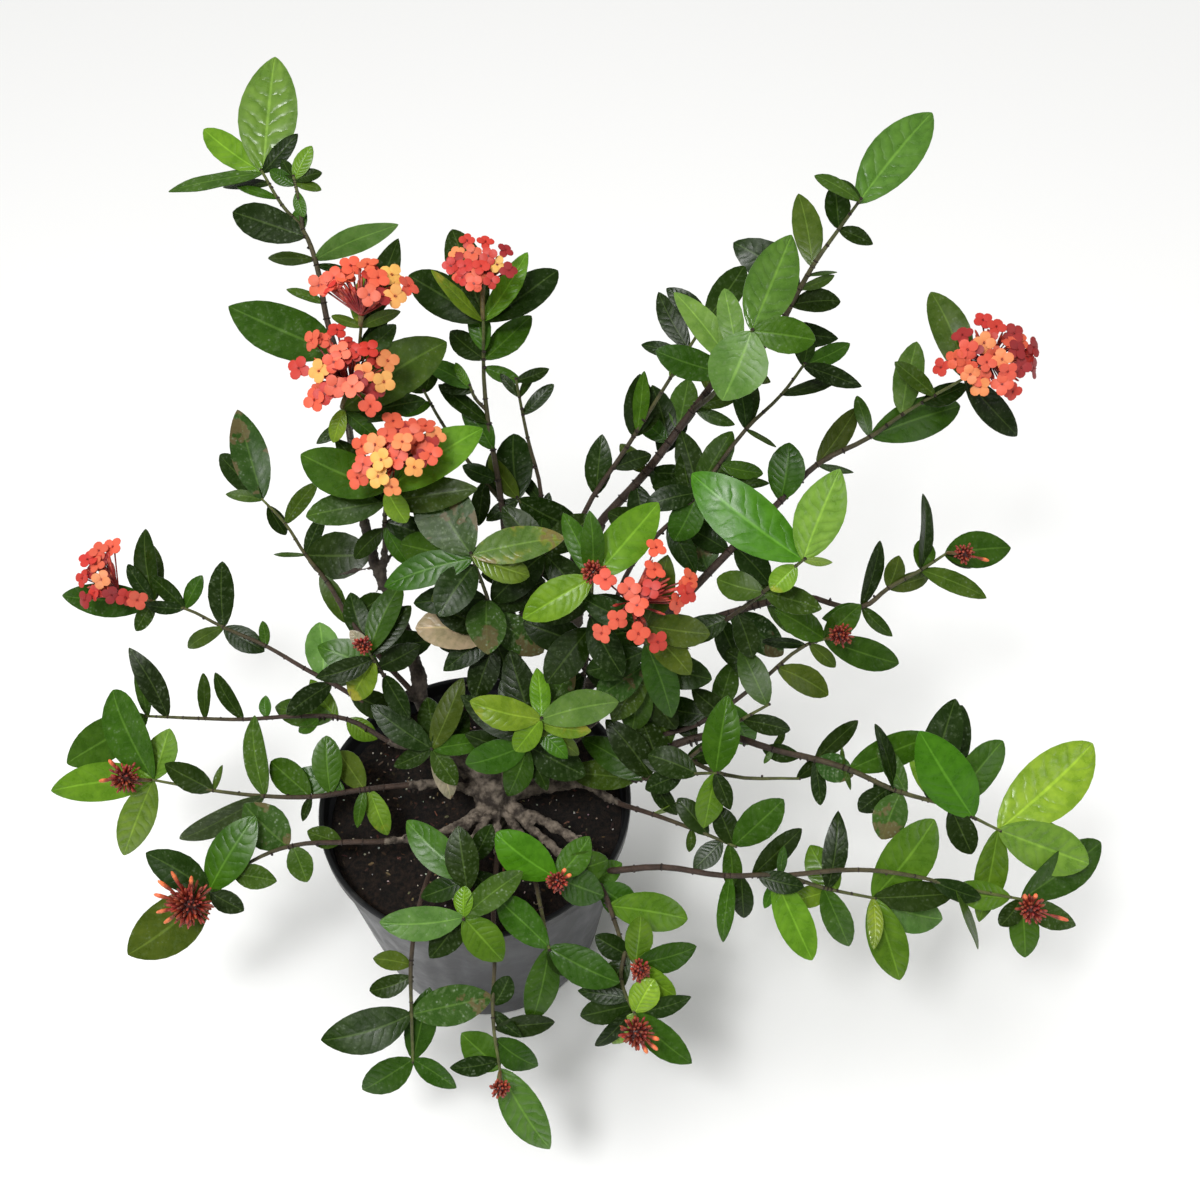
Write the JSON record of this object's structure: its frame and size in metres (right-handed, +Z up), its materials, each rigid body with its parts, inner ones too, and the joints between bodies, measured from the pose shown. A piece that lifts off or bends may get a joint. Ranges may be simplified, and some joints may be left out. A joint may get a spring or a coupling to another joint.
{
  "type": "potted ixora plant",
  "caption": "Ixora house plant in a tapered round nursery pot, with woody limbs spreading low from a short trunk, leafy shoots, coral flower heads and heads of buds.",
  "frame": {"origin": "middle of the pot's flat underside, on the surface it stands on", "axes": "+Z up through the pot, +X to the side of the longest low shoots, +Y to the side of the tallest shoots"},
  "size_m": [0.7993, 0.5645, 0.6489],
  "materials": {
    "pot_plastic": "semi-matt black, slate grey where light falls along it",
    "soil": "dark crumbly potting soil with white perlite",
    "bark": "rough grey-brown bark",
    "leaf": "glossy green with pale midrib and side veins",
    "petal": "soft coral and orange petals",
    "bud": "red-brown buds"
  },
  "bodies": {
    "root": {"pot": "pot_plastic", "soil": "soil", "woody_base": "bark", "shoot_upper_left": "leaf", "shoot_left_front": "leaf", "shoot_back": "leaf", "shoot_back_right": "leaf", "shoot_upper_right": "leaf", "shoot_upper_side": "leaf", "shoot_right_side": "leaf", "shoot_right": "leaf", "shoot_inner_right": "leaf", "shoot_far_right": "leaf", "shoot_far_right_low": "leaf", "shoot_low_flat": "leaf", "shoot_bright_pair": "leaf", "shoot_flat_low": "leaf", "shoot_low_right": "leaf", "shoot_near_side": "leaf", "shoot_near_right": "leaf", "shoot_near": "leaf", "shoot_near_left": "leaf", "shoot_near_low": "leaf", "shoot_left_front_low": "leaf", "shoot_left_low": "leaf", "shoot_left_flat": "leaf", "shoot_left_long": "leaf", "shoot_left_mid": "leaf", "shoot_left_inner": "leaf", "shoot_centre": "leaf", "shoot_middle": "leaf", "shoot_centre_back": "leaf", "shoot_open_flower": "leaf", "shoot_centre_left": "leaf", "shoot_inner_back": "leaf", "flower_back": "petal", "flower_upper_left": "petal", "flower_left": "petal", "flower_left_front": "petal", "flower_right": "petal", "flower_far_left": "petal", "flower_open": "petal", "buds_low_left_front": "bud", "buds_low_left": "bud", "buds_near_low_side": "bud", "buds_near_side": "bud", "buds_near_right": "bud", "buds_near_low": "bud", "buds_far_right_low": "bud", "buds_far_right": "bud", "buds_low_right": "bud", "buds_middle": "bud", "buds_left_inner": "bud"}
  },
  "joints": []
}
